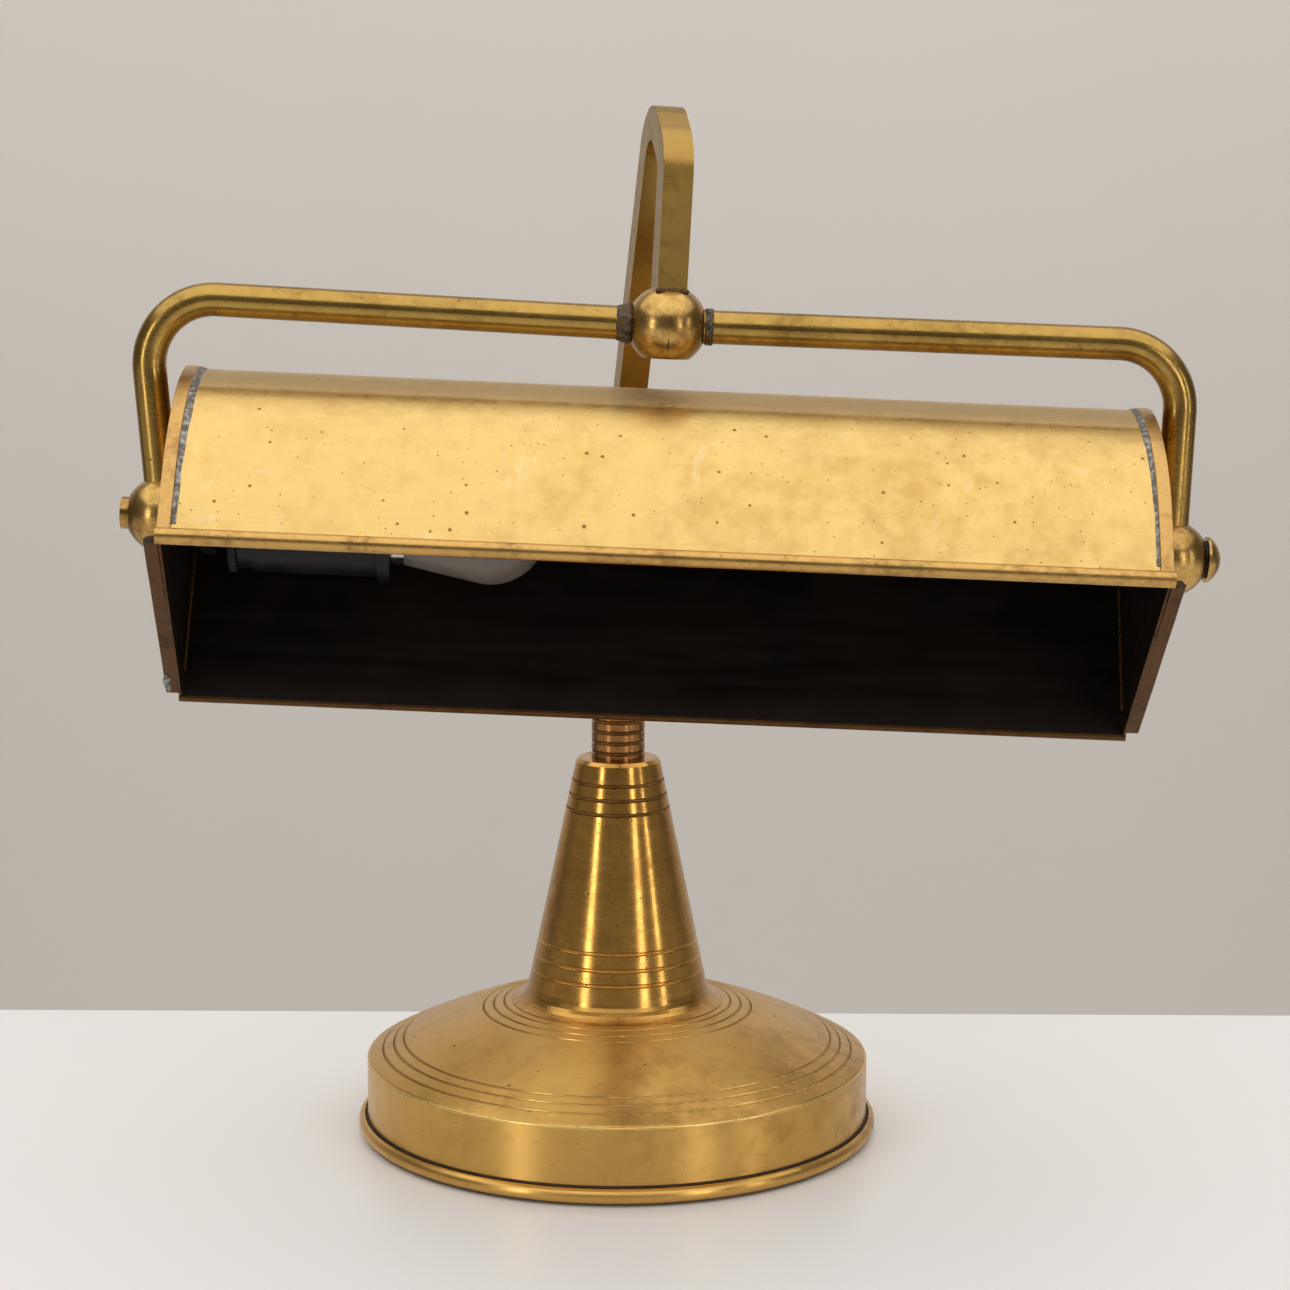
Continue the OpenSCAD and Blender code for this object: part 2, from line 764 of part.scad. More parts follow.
module knob_washer() {
    color(black) along_pivot(shade_l + side_gap[1] + outer_flat + fit)
        ring(6, screw_r, knob_washer_t);
}

// Lampholder and bulb

module holder_ring() {
    color(black) along_pivot(ring_at) ring(holder_ring_r, nipple_r, holder_ring_l);
}

module holder_body() {
    color(black) along_pivot(body_at) difference() {
        union() {
            cylinder(h = holder_neck_l, r = holder_neck_r, $fn = fine);
            translate([0, 0, holder_neck_l]) cylinder(h = holder_l - holder_neck_l, r = holder_r, $fn = fine);
        }
        translate([0, 0, holder_floor]) cylinder(h = holder_l, r = holder_bore_r, $fn = fine);
        translate([0, 0, -overrun]) cylinder(h = holder_l, r = nipple_r, $fn = fine);
    }
}

module holder_flange() {
    color(black) along_pivot(flange_at) ring(flange_r, holder_bore_r, flange_l);
}

module holder_screw_shell() {
    color(brass) along_pivot(body_at + holder_floor + 3)
        ring(holder_bore_r, shell_r, holder_l - holder_floor - 4);
}

module holder_contact() {
    color(brass) along_pivot(body_at + holder_floor) {
        ring(holder_bore_r - 1, nipple_r, 1.5);
        translate([0, 0, 1.5])
            cylinder(h = cap_at - body_at - holder_floor - 1.5 - gap, r = nipple_r + 0.5, $fn = medium);
    }
}

module bulb_cap() {
    color([0.8, 0.8, 0.82]) along_pivot(cap_at) rotate_extrude($fn = fine)
        polygon([[0, 0], [4.5, 0], [4.5, 1.5], [bulb_cap_r, 5], [bulb_cap_r, bulb_cap_l],
                 [bulb_cap_r - 0.6, bulb_cap_l], [bulb_cap_r - 0.6, 6], [0, 3]]);
}

module bulb_outline(shrink) {
    middle = bulb_l - bulb_r;
    lean = asin((bulb_r - bulb_cap_r) / middle);
    difference() {
        union() {
            translate([0, middle]) circle(r = bulb_r - shrink, $fn = fine);
            polygon([[0, 0], [bulb_cap_r - shrink, 0],
                     [(bulb_r - shrink) * cos(lean), middle - (bulb_r - shrink) * sin(lean)], [0, middle]]);
        }
        translate([-2 * bulb_l, -bulb_l]) square([2 * bulb_l, 4 * bulb_l]);
    }
}

module bulb_glass() {
    color([0.95, 0.95, 0.92]) along_pivot(glass_at) rotate_extrude($fn = fine) difference() {
        bulb_outline(0);
        bulb_outline(bulb_wall);
    }
}

base_shell();
pedestal_cone();
base_weight();
felt_pad();
tie_rod();
tie_rod_nut();
tie_rod_washer();
neck_column();
swivel_screw();
cord_inlet_bush();
fork_head();
swivel_washer();
knuckle_screw();
knuckle_nut();
knuckle_washers();
arm_bar();
centre_ball();
yoke_collar();
left_tube();
right_tube();
left_ball();
right_ball();
shade_trough();
left_end_cap();
right_end_cap();
front_lip();
front_lip_wire();
rear_lip();
pivot_nipple();
pivot_cap_nut();
nipple_spacer();
nipple_lock_nut();
pivot_washers();
clamp_screw_nut();
holder_ring();
holder_body();
holder_flange();
holder_screw_shell();
holder_contact();
bulb_cap();
bulb_glass();
clamp_screw();
knob_washer();
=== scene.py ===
"""The looks of a brass desk lamp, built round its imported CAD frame.

Lengths are millimetres in this file, apart from the lights', and turn into metres where a
mesh or a texture is made. The head stands in nested frames, as it does in the CAD: arm, then
middle ball, then yoke. In the yoke's frame X runs along the shade's pivot, and the shade's
section lies in the Y-Z plane.
"""

import math

import bpy
from mathutils import Matrix, Vector, noise


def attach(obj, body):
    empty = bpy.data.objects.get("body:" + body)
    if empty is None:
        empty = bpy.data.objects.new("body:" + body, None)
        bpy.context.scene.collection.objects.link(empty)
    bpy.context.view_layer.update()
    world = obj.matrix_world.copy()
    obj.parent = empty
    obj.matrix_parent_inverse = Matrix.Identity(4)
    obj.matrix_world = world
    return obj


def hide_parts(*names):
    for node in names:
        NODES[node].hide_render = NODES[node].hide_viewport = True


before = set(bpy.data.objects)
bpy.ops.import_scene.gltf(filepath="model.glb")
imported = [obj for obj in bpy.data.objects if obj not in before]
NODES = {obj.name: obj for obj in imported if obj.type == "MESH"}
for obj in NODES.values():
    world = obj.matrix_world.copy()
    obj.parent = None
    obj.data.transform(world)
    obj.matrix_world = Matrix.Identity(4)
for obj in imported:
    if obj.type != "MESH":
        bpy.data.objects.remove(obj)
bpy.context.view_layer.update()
MM = 0.001


# ---------------------------------------------------------------- frames and sizes

def shift(x, y, z):
    return Matrix.Translation(Vector((x, y, z)) * MM)


def turn(degrees, axis):
    return Matrix.Rotation(math.radians(degrees), 4, axis)


TABLE = Matrix.Identity(4)
ARM = shift(0, 0, 224) @ turn(10.1, "Z") @ turn(2.9, "Y")
ARM_END = ARM @ shift(0, -72.2, 58.5)
MIDDLE_BALL = ARM_END @ turn(-9.1, "Z") @ turn(-0.5, "Y")
YOKE = MIDDLE_BALL @ shift(1.7, 0, -66.5)

HALF_SHADE = 152
# The shade's section from its front edge over the top: where it starts as (Y, Z), its
# heading in degrees, then straights and bends as (length, bend radius, degrees turned)
SECTION_START = (-59.5, -0.2)
SECTION_HEADING = 63.2
SECTION_STEPS = [(0, 187.5, 6.6), (0, 65, 45.9), (0, 36.3, 130.3), (59.4, 0, 0)]
SHEET_T = 0.9
CAP_T = 1.0
RIM_T = 0.8
RIM_W = 4.2
FRONT_LIP_R = 2.6
REAR_LIP_R = 1.5

# The base: a skirt, a dome that rises inwards from it, a cone and a neck
SKIRT_R = 87.2
SKIRT_TOP = 26.0
DOME_SLOPE = 0.537
DOME_FLATTENING = 0.003
CONE_TOP = 131.0
CONE_TOP_R = 14.6
CONE_TAPER = 0.206
NECK_R = 9.2
SKIRT_GROOVE_Z = 6.0
DOME_GROOVES = [81.8, 78, 74.6, 46.8, 43.2, 39.6]
CONE_GROOVES = [CONE_TOP - 7.5, CONE_TOP - 12.3, CONE_TOP - 17.1]
NECK_GROOVES = [CONE_TOP + 2.4 + 3.65 * i for i in range(5)]

# The lampholder's ring, from RING_AT on the pivot towards the right
RING_AT = 15.5 - HALF_SHADE
RING_L = 3.2
RING_R = 17.5


# ---------------------------------------------------------------- camera and light

def add_camera():
    """A long lens a metre in front of the lamp and a little above it, looking along +Y."""
    pitch = 0.150797
    roll = 0.00454
    level = Vector((1, 0, 0))
    ahead = Vector((0, math.cos(pitch), -math.sin(pitch)))
    above = Vector((0, math.sin(pitch), math.cos(pitch)))
    right = level * math.cos(roll) + above * math.sin(roll)
    up = above * math.cos(roll) - level * math.sin(roll)
    camera = bpy.data.objects.new("camera", bpy.data.cameras.new("camera"))
    camera.data.lens = 82.885
    camera.data.sensor_width = 36
    camera.data.clip_end = 30
    axes = Matrix((right, up, -ahead)).transposed().to_4x4()
    camera.matrix_world = shift(9.1, -1008.4, 323.3) @ axes
    bpy.context.scene.collection.objects.link(camera)
    bpy.context.scene.camera = camera


def add_light(name, width, height, at, target, radiance, colour=(1, 1, 1)):
    """A rectangular soft light, in metres, that the camera doesn't see itself.
    Its power follows from the brightness that its face should have."""
    light = bpy.data.lights.new(name, "AREA")
    light.shape = "RECTANGLE"
    light.size = width
    light.size_y = height
    light.energy = radiance * math.pi * width * height
    light.color = colour
    lamp = bpy.data.objects.new(name, light)
    lamp.location = at
    lamp.rotation_euler = (Vector(target) - Vector(at)).to_track_quat("-Z", "Y").to_euler()
    lamp.visible_camera = False
    bpy.context.scene.collection.objects.link(lamp)


def light_studio():
    """A dim room with a ceiling light, lights on the wall, and tall windows that the brass reflects."""
    world = bpy.data.worlds.new("studio")
    world.use_nodes = True
    background = world.node_tree.nodes["Background"]
    background.inputs["Color"].default_value = (1.0, 0.96, 0.91, 1)
    background.inputs["Strength"].default_value = 0.15
    bpy.context.scene.world = world
    bpy.context.scene.view_settings.view_transform = "Standard"
    add_light("ceiling", 3.6, 2.58, (0, -0.61, 1.5), (0, -0.61, 0), 1.5)
    add_light("upper_wall_wash", 4.2, 1.57, (0, 0.57, 1.67), (0, 1.75, 1.67), 1.15)
    add_light("lower_wall_wash", 4.2, 0.92, (0, 0.57, -1.21), (0, 1.75, -1.21), 0.9)
    lamp = (0, 0, 0.15)
    daylight = (1, 0.98, 0.95)
    add_light("left_window", 0.26, 0.9, (-1.45, -1.6, 0.5), lamp, 7.0, daylight)
    add_light("right_window", 0.26, 0.9, (1.2, -1.65, 0.5), lamp, 5.0, daylight)
    add_light("side_strip", 0.12, 0.9, (1.9, -1.0, 0.5), lamp, 7.0, daylight)


# ---------------------------------------------------------------- materials

def srgb(red, green, blue):
    """A colour given as it looks on screen, 0 to 255, as the linear colour that nodes take."""
    def linear(part):
        part /= 255
        return part / 12.92 if part < 0.04045 else ((part + 0.055) / 1.055) ** 2.4
    return (linear(red), linear(green), linear(blue), 1)


class Shader:
    """One material's node tree, with a short call for each kind of node it uses."""

    def __init__(self, name):
        self.material = bpy.data.materials.new(name)
        self.material.use_nodes = True
        self.tree = self.material.node_tree
        self.tree.nodes.clear()

    def add(self, kind, inputs=None, **settings):
        node = self.tree.nodes.new("ShaderNode" + kind)
        for name, value in settings.items():
            setattr(node, name, value)
        for name, value in (inputs or {}).items():
            if isinstance(value, bpy.types.NodeSocket):
                self.tree.links.new(value, node.inputs[name])
            else:
                node.inputs[name].default_value = value
        return node

    def local(self, place):
        """Coordinates in a frame such as the yoke's, in metres."""
        coordinates = self.add("TexCoord").outputs["Object"]
        inputs = {"Vector": coordinates, "Location": place.to_translation(), "Rotation": place.to_euler()}
        return self.add("Mapping", inputs, vector_type="TEXTURE").outputs["Vector"]

    def stretched(self, coordinates, scale):
        return self.add("Mapping", {"Vector": coordinates, "Scale": scale}).outputs["Vector"]

    def lathed(self, coordinates):
        """Distance from the Z axis and height, so that a pattern runs in rings round it."""
        parts = self.add("SeparateXYZ", {"Vector": coordinates}).outputs
        flat = self.add("CombineXYZ", {"X": parts["X"], "Y": parts["Y"]}).outputs["Vector"]
        radius = self.add("VectorMath", {0: flat}, operation="LENGTH").outputs["Value"]
        return self.add("CombineXYZ", {"X": radius, "Z": parts["Z"]}).outputs["Vector"]

    def noise(self, coordinates, size, detail=4, roughness=0.55, distortion=0):
        """Cloudy noise whose features are about size millimetres across."""
        inputs = {"Vector": coordinates, "Scale": 1 / (size * MM), "Detail": detail,
                  "Roughness": roughness, "Distortion": distortion}
        return self.add("TexNoise", inputs).outputs["Fac"]

    def ramp(self, value, low, high, start=0.0, end=1.0):
        inputs = {"Value": value, "From Min": low, "From Max": high, "To Min": start, "To Max": end}
        return self.add("MapRange", inputs, interpolation_type="SMOOTHSTEP").outputs["Result"]

    def math(self, operation, first, second):
        return self.add("Math", {0: first, 1: second}, operation=operation).outputs["Value"]

    def blend(self, share, first, second):
        """The given share of the first value and the rest of the second."""
        part = self.math("MULTIPLY", first, share)
        rest = self.math("MULTIPLY", second, 1 - share)
        return self.math("ADD", part, rest)

    def mix(self, factor, first, second):
        """A colour between the first, where factor is 0, and the second, where it is 1. The node has
        sockets of the same names for numbers and vectors, so those for colours are found by place."""
        node = self.add("Mix", {0: factor, 6: first, 7: second}, data_type="RGBA")
        return node.outputs[2]

    def spots(self, coordinates, spacing, radius, share):
        """Round spots of mixed sizes up to radius: 1 inside a spot and 0 outside.
        Space is cut into cells of about spacing, and the given share of them hold a spot."""
        largest = radius / spacing
        softness = 0.4 * largest
        cells = self.add("TexVoronoi", {"Vector": coordinates, "Scale": 1 / (spacing * MM)}).outputs
        chance = self.add("SeparateColor", {"Color": cells["Color"]}).outputs["Red"]
        reach = self.ramp(chance, 1 - share, 1, 0, largest)
        return self.ramp(self.math("SUBTRACT", cells["Distance"], reach), -softness, 0, 1, 0)

    def finish(self, inputs, height=None, bump=0.2, depth=0.2, turned=0.0):
        """The surface shader. Height bumps it, with depth in millimetres. Turned, from 0 to 1, is for
        marks in rings round the Z axis, which stretch reflections along that axis."""
        inputs = dict(inputs)
        if turned:
            inputs["Tangent"] = self.add("Tangent", direction_type="RADIAL", axis="Z").outputs["Tangent"]
            inputs["Anisotropic"] = turned
            inputs["Anisotropic Rotation"] = 0.25
        if height is not None:
            bumps = {"Height": height, "Strength": bump, "Distance": depth * MM}
            inputs["Normal"] = self.add("Bump", bumps).outputs["Normal"]
        surface = self.add("BsdfPrincipled", inputs)
        self.add("OutputMaterial", {"Surface": surface.outputs["BSDF"]})
        return self.material


AGED_BRASS = srgb(178, 140, 78)
BROWN_STAIN = srgb(116, 76, 34)
PALE_BLOOM = srgb(226, 212, 176)
# Pale dust for the shade's top, made light enough to paint the reflection there as well: dust and painted
# sheen
DUST_AND_PAINTED_SHEEN = srgb(206, 180, 134)


def stains(s, coordinates, mottle, patch, cover):
    """Clouds about patch millimetres across, broken up by the mottle: 1 in a stain and 0 outside."""
    clouds = s.noise(coordinates, patch, 6, 0.6, 0.4)
    return s.ramp(s.blend(0.62, clouds, mottle), 0.6 - 0.3 * cover, 0.88 - 0.3 * cover)


def pale_bloom(s, coordinates, patch, amount):
    """Wispy marks where the metal has gone pale: up to amount inside them and 0 outside."""
    wisps = s.noise(coordinates, patch * 0.6, 7, 0.7, 0.8)
    return s.math("MULTIPLY", s.ramp(wisps, 0.58, 0.72), amount)


def tool_lines(s, coordinates, grain, lathed):
    """Fine scratches: in rings round the Z axis when lathed, and otherwise drawn out by the grain."""
    if lathed:
        return s.noise(s.lathed(coordinates), 0.45, 2, 0.7)
    return s.noise(s.stretched(coordinates, grain), 0.7, 3, 0.6)


def dust_and_painted_sheen(s, coordinates, above):
    """Specks above a height, in millimetres in the frame of the coordinates: real dust, and also painted
    sheen, since their pale colour lightens the shade's top band as a reflection would.
    """
    level = s.add("SeparateXYZ", {"Vector": coordinates}).outputs["Z"]
    edge = s.ramp(level, (above - 0.5) * MM, (above + 0.6) * MM)
    specks = s.ramp(s.noise(coordinates, 0.9, 3, 0.7), 0.3, 0.65, 0.45, 0.95)
    return s.math("MULTIPLY", edge, specks)


def brass(name, clean, stain, place=TABLE, cover=0.5, patch=40, polish=(0.22, 0.42), marks=0.35,
          grain=(1, 1, 1), lathed=False, bloom=0.0, dust_and_sheen_above=None):
    """Brass with cloudy stains, dark pits, pale bloom and fine scratches along its grain.
    Polish is its least and greatest roughness. Cover, marks and bloom say how much of it is
    stained, pitted and pale. Patch is the size of a stain."""
    s = Shader(name)
    coordinates = s.local(place)
    mottle = s.noise(coordinates, patch / 7, 5, 0.65)
    lines = tool_lines(s, coordinates, grain, lathed)
    pale = pale_bloom(s, coordinates, patch, bloom)
    pits = s.math("MAXIMUM", s.spots(coordinates, 5, 0.8, marks), s.spots(coordinates, 2, 0.36, marks))
    colour = s.mix(stains(s, coordinates, mottle, patch, cover), clean, stain)
    colour = s.mix(pale, colour, PALE_BLOOM)
    colour = s.mix(s.math("MULTIPLY", pits, 0.8), colour, BROWN_STAIN)
    rough = s.ramp(s.blend(0.6, mottle, lines), 0.3, 0.7, *polish)
    rough = s.math("ADD", rough, s.math("MULTIPLY", s.math("ADD", pits, pale), 0.2))
    # Dust on the top, whose pale colour also paints a lighter band there: a painted reflection
    if dust_and_sheen_above:
        dust_and_sheen_mask = dust_and_painted_sheen(s, coordinates, dust_and_sheen_above)
        colour = s.mix(dust_and_sheen_mask, colour, DUST_AND_PAINTED_SHEEN)
        rough = s.math("ADD", rough, s.math("MULTIPLY", dust_and_sheen_mask, 0.22))
    height = s.math("SUBTRACT", s.math("ADD", s.math("MULTIPLY", lines, 0.35), mottle), pits)
    turned = 0.75 if lathed else 0.0
    return s.finish({"Base Color": colour, "Roughness": rough, "Metallic": 1.0}, height, 0.14, 0.2, turned)


def inside_with_painted_shade(name):
    """The inside of the shade: nearly black brown, dull, with a trace of metal. The brown is the metal's
    own, and its near black is painted shade.
    """
    s = Shader(name)
    coordinates = s.local(YOKE)
    clouds = s.noise(coordinates, 30, 5, 0.6)
    # Near black: painted shade, darker than the metal's own brown
    colour = s.mix(s.ramp(clouds, 0.35, 0.7), srgb(15, 7, 3), srgb(32, 17, 8))
    streaks = s.noise(s.stretched(coordinates, (0.1, 1, 1)), 5, 4)
    rough = s.ramp(streaks, 0.3, 0.7, 0.42, 0.62)
    return s.finish({"Base Color": colour, "Roughness": rough, "Metallic": 0.5}, streaks, 0.15, 0.2)


def solder(name, dark, light, brown, cover):
    """Lumpy solder, with brown flux left on a share of it."""
    s = Shader(name)
    coordinates = s.local(TABLE)
    lumps = s.noise(coordinates, 2, 5, 0.6, 0.5)
    colour = s.mix(s.ramp(lumps, 0.4, 0.68), dark, light)
    flux = s.ramp(s.noise(coordinates, 5, 4), 0.66 - 0.3 * cover, 0.78 - 0.3 * cover)
    colour = s.mix(flux, colour, brown)
    rough = s.ramp(lumps, 0.3, 0.7, 0.35, 0.6)
    return s.finish({"Base Color": colour, "Roughness": rough, "Metallic": 0.6}, lumps, 0.5, 0.3)


def black_plastic(name):
    """Moulded black plastic, satin, with a few dull rub marks."""
    s = Shader(name)
    coordinates = s.local(YOKE)
    rubs = s.noise(coordinates, 12, 5, 0.6)
    grain = s.noise(coordinates, 0.6, 2)
    colour = s.mix(s.ramp(rubs, 0.4, 0.7), srgb(12, 12, 13), srgb(24, 23, 23))
    rough = s.ramp(rubs, 0.3, 0.7, 0.32, 0.5)
    return s.finish({"Base Color": colour, "Roughness": rough, "Specular IOR Level": 0.22}, grain, 0.1, 0.05)


def dull_metal(name, dark, light, polish=(0.3, 0.5), metallic=1.0):
    """Cloudy metal or dirt: two shades of one colour, with no marks of its own."""
    s = Shader(name)
    coordinates = s.local(TABLE)
    clouds = s.noise(coordinates, 6, 5, 0.6)
    colour = s.mix(s.ramp(clouds, 0.35, 0.65), dark, light)
    rough = s.ramp(clouds, 0.3, 0.7, *polish)
    return s.finish({"Base Color": colour, "Roughness": rough, "Metallic": metallic}, clouds, 0.2, 0.1)


def frosted_glass(name):
    """A frosted bulb that is switched off: grey in the shade's shadow, with a soft shine."""
    s = Shader(name)
    coordinates = s.local(YOKE)
    frost = s.noise(coordinates, 8, 4)
    colour = s.mix(frost, srgb(98, 88, 80), srgb(120, 111, 102))
    rough = s.ramp(frost, 0.3, 0.7, 0.28, 0.4)
    return s.finish({"Base Color": colour, "Roughness": rough, "Transmission Weight": 0.15},
                    s.noise(coordinates, 0.4, 2), 0.05, 0.05)


def felt(name):
    """Dark green felt with a short pile."""
    s = Shader(name)
    coordinates = s.local(TABLE)
    pile = s.noise(coordinates, 0.8, 3, 0.7)
    colour = s.mix(pile, srgb(20, 38, 27), srgb(46, 74, 56))
    return s.finish({"Base Color": colour, "Roughness": 0.95, "Sheen Weight": 0.3}, pile, 0.8, 0.4)


def backdrop(name, low, high, rough):
    """Painted wall or table: a trace of unevenness and nothing else."""
    s = Shader(name)
    coordinates = s.local(TABLE)
    clouds = s.noise(coordinates, 300, 3)
    ripple = s.noise(coordinates, 2, 2)
    return s.finish({"Base Color": s.mix(clouds, low, high), "Roughness": rough}, ripple, 0.02, 0.1)


# ---------------------------------------------------------------- mesh making

def path_points(start, heading, steps, inward, spacing=1.5):
    """Points of straights and clockwise bends, each (length, radius, turn), moved right by inward.
    They are about spacing apart in the bends."""
    angle = math.radians(heading)
    y = start[0] + inward * math.sin(angle)
    z = start[1] - inward * math.cos(angle)
    points = [(y, z)]
    for length, radius, bend in steps:
        pieces = math.ceil(length / (3 * spacing))
        for _ in range(pieces):
            y += length / pieces * math.cos(angle)
            z += length / pieces * math.sin(angle)
            points.append((y, z))
        bend = math.radians(bend)
        pieces = math.ceil(bend * radius / spacing)
        near = radius - inward
        middle = (y + near * math.sin(angle), z - near * math.cos(angle))
        for k in range(1, pieces + 1):
            a = angle - bend * k / pieces
            y = middle[0] - near * math.sin(a)
            z = middle[1] + near * math.cos(a)
            points.append((y, z))
        angle -= bend
    return points


def section(inward):
    """The shade's section as (Y, Z) points, this far inside its outer face."""
    return path_points(SECTION_START, SECTION_HEADING, SECTION_STEPS, inward)


def skin(rings):
    """Faces over a row of closed rings with equal point counts, and a face over each end."""
    count = len(rings[0])
    verts = [point for ring in rings for point in ring]
    faces = []
    for i in range(len(rings) - 1):
        for j in range(count):
            k = (j + 1) % count
            faces.append((i * count + j, i * count + k, (i + 1) * count + k, (i + 1) * count + j))
    faces.append(tuple(range(count))[::-1])
    faces.append(tuple(range(len(verts) - count, len(verts))))
    return verts, faces


def round_edges(piece, width, sharp):
    """Rounds the edges that turn by more than the sharp angle, in degrees."""
    rounding = piece.modifiers.new("rounding", "BEVEL")
    rounding.width = width * MM
    rounding.segments = 3
    rounding.limit_method = "ANGLE"
    rounding.angle_limit = math.radians(sharp)
    return rounding


def add_piece(name, shape, place, body, materials, nodes=(), slots=None, sharp=35, bevel=0):
    """A mesh, given in millimetres in the frame of its place, that rides on a body and may stand
    for CAD nodes. Sharp is the angle from which an edge isn't smoothed, and bevel rounds such edges."""
    verts, faces = shape
    mesh = bpy.data.meshes.new(name)
    mesh.from_pydata([place @ (Vector(v) * MM) for v in verts], [], faces)
    for material in materials:
        mesh.materials.append(material)
    if slots:
        mesh.polygons.foreach_set("material_index", slots)
    mesh.validate()
    mesh.shade_smooth()
    mesh.set_sharp_from_angle(angle=math.radians(sharp))
    piece = bpy.data.objects.new(name, mesh)
    bpy.context.scene.collection.objects.link(piece)
    if bevel:
        round_edges(piece, bevel, sharp).harden_normals = True
    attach(piece, body)
    if nodes:
        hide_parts(*nodes)


def steps_between(low, high, spacing):
    """Even steps from low to high, no further apart than spacing."""
    count = math.ceil((high - low) / spacing)
    return [low + (high - low) * k / count for k in range(count + 1)]


def angles(count):
    """Even steps once round a circle."""
    return [2 * math.pi * k / count for k in range(count)]


def wobble(x, y, z, size):
    """Smooth noise from -1 to 1 that is the same on every run."""
    return noise.noise(Vector((x, y, z)) / size)


# ---------------------------------------------------------------- shade

def add_trough(outside, inside):
    """The bent sheet, with shallow dents that its reflections show."""
    outer = section(RIM_T)
    inner = section(RIM_T + SHEET_T)
    rings = []
    for x in steps_between(CAP_T - HALF_SHADE, HALF_SHADE - CAP_T, 3):
        dents = []
        for y, z in outer:
            dents.append(0.14 * wobble(x, y, z, size=38) + 0.05 * wobble(x, y, z, size=14))
        front = [(x, y + (y - b) * d, z + (z - c) * d) for (y, z), (b, c), d in zip(outer, inner, dents)]
        back = [(x, b + (y - b) * d, c + (z - c) * d) for (y, z), (b, c), d in zip(outer, inner, dents)]
        rings.append(front + back[::-1])
    verts, faces = skin(rings)
    half = len(outer)
    slots = []
    for face in range(len(faces)):
        column = face % (2 * half)
        slots.append(0 if column < half - 1 else 1)
    add_piece("trough_sheet", (verts, faces), YOKE, "shade", [outside, inside],
              ["shade_trough"], slots)


def add_end_cap(side, outside, inside, edge):
    """A flat plate whose edge is turned over the trough, with a rounded outer corner."""
    corner = 0.35
    profile = [(0, 3), (0, corner), (corner * 0.3, corner * 0.3), (corner, 0),
               (RIM_W - 0.2, 0), (RIM_W, 0.2), (RIM_W, RIM_T), (CAP_T, RIM_T), (CAP_T, 3)]
    outlines = [(depth, section(inward)) for depth, inward in profile]
    rings = []
    for j in range(len(outlines[0][1])):
        rings.append([(side * (HALF_SHADE - depth), *outline[j]) for depth, outline in outlines])
    verts, faces = skin(rings)
    count = len(profile)
    last = len(verts) - count
    faces.append(tuple(range(0, len(verts), count)))
    faces.append(tuple(range(count - 1, len(verts), count))[::-1])
    faces.append((0, last, last + count - 1, count - 1))
    slots = [0] * len(faces)
    slots[-2] = 1
    slots[-1] = 2
    name = "left" if side < 0 else "right"
    add_piece(name + "_cap_plate", (verts, faces), YOKE, "shade", [outside, inside, edge],
              [name + "_end_cap"], slots)


def add_cap_flange(side, material):
    """The strip that stands out along the cap's open edge, from the front lip to the rear one."""
    start = Vector((0, *SECTION_START))
    end = Vector((0, *section(0)[-1]))
    along = (end - start).normalized()
    inward = Vector((0, -along.z, along.y))
    low = start + along * (FRONT_LIP_R + 0.3)
    high = end - along * (REAR_LIP_R + 0.3)
    pieces = 24
    seed = side * 40
    rings = []
    for k in range(pieces + 1):
        at = low.lerp(high, k / pieces)
        wave = 0.12 * wobble(seed, at.y, at.z, size=16)
        near = HALF_SHADE - 0.2
        far = HALF_SHADE + RIM_W - 0.15 + wave
        bottom = at + inward * 0.12
        top = at + inward * CAP_T
        rings.append([(side * near, *bottom.yz), (side * far, *bottom.yz),
                      (side * far, *top.yz), (side * near, *top.yz)])
    name = ("left" if side < 0 else "right") + "_cap_flange"
    add_piece(name, skin(rings), YOKE, "shade", [material], bevel=0.3)


def add_lip(name, at, radius, node, material):
    """A rolled edge along the shade, a little uneven but never thicker than its radius."""
    around = 28
    rings = []
    for x in steps_between(-HALF_SHADE, HALF_SHADE, 2.5):
        r = radius * (0.985 + 0.015 * wobble(x, radius, 0, size=12))
        ring = []
        for a in angles(around):
            ring.append((x, at[0] + r * math.cos(a), at[1] + r * math.sin(a)))
        rings.append(ring)
    add_piece(name, skin(rings), YOKE, "shade", [material], [node])


def add_seam(side, material):
    """Solder run along the inner edge of a cap's rim: wider at the top, and wider on the left cap."""
    foot = section(RIM_T)
    inner = section(RIM_T + 1)
    least_width = 1.8 if side < 0 else 1.2
    rim_edge = HALF_SHADE - RIM_W + 0.1
    sunk = -0.2
    spread_from = 20
    spread_to = 45
    seed = side * 300
    rings = []
    for j in range(3, len(foot) - 2):
        y, z = foot[j]
        out = Vector((0, y - inner[j][0], z - inner[j][1])).normalized()
        place = (seed, y, z)
        spread = max(0, min(1, (z - spread_from) / (spread_to - spread_from)))
        width = least_width + 0.9 * spread
        width += 0.35 * wobble(*place, size=9) + 0.15 * wobble(*place, size=3)
        crown = 0.3 + 0.3 * spread + 0.1 * wobble(*place, size=5)
        profile = [(0, crown * 0.9)]
        for t in steps_between(0, 1, 1 / 6)[1:]:
            profile.append((t, crown * math.sin(math.pi * (0.35 + 0.65 * t))))
        profile += [(1, sunk), (0, sunk)]
        ring = []
        for t, lift in profile:
            ring.append((side * (rim_edge - width * t), y + out.y * lift, z + out.z * lift))
        rings.append(ring)
    name = ("left" if side < 0 else "right") + "_cap_solder"
    add_piece(name, skin(rings), YOKE, "shade", [material], sharp=60)


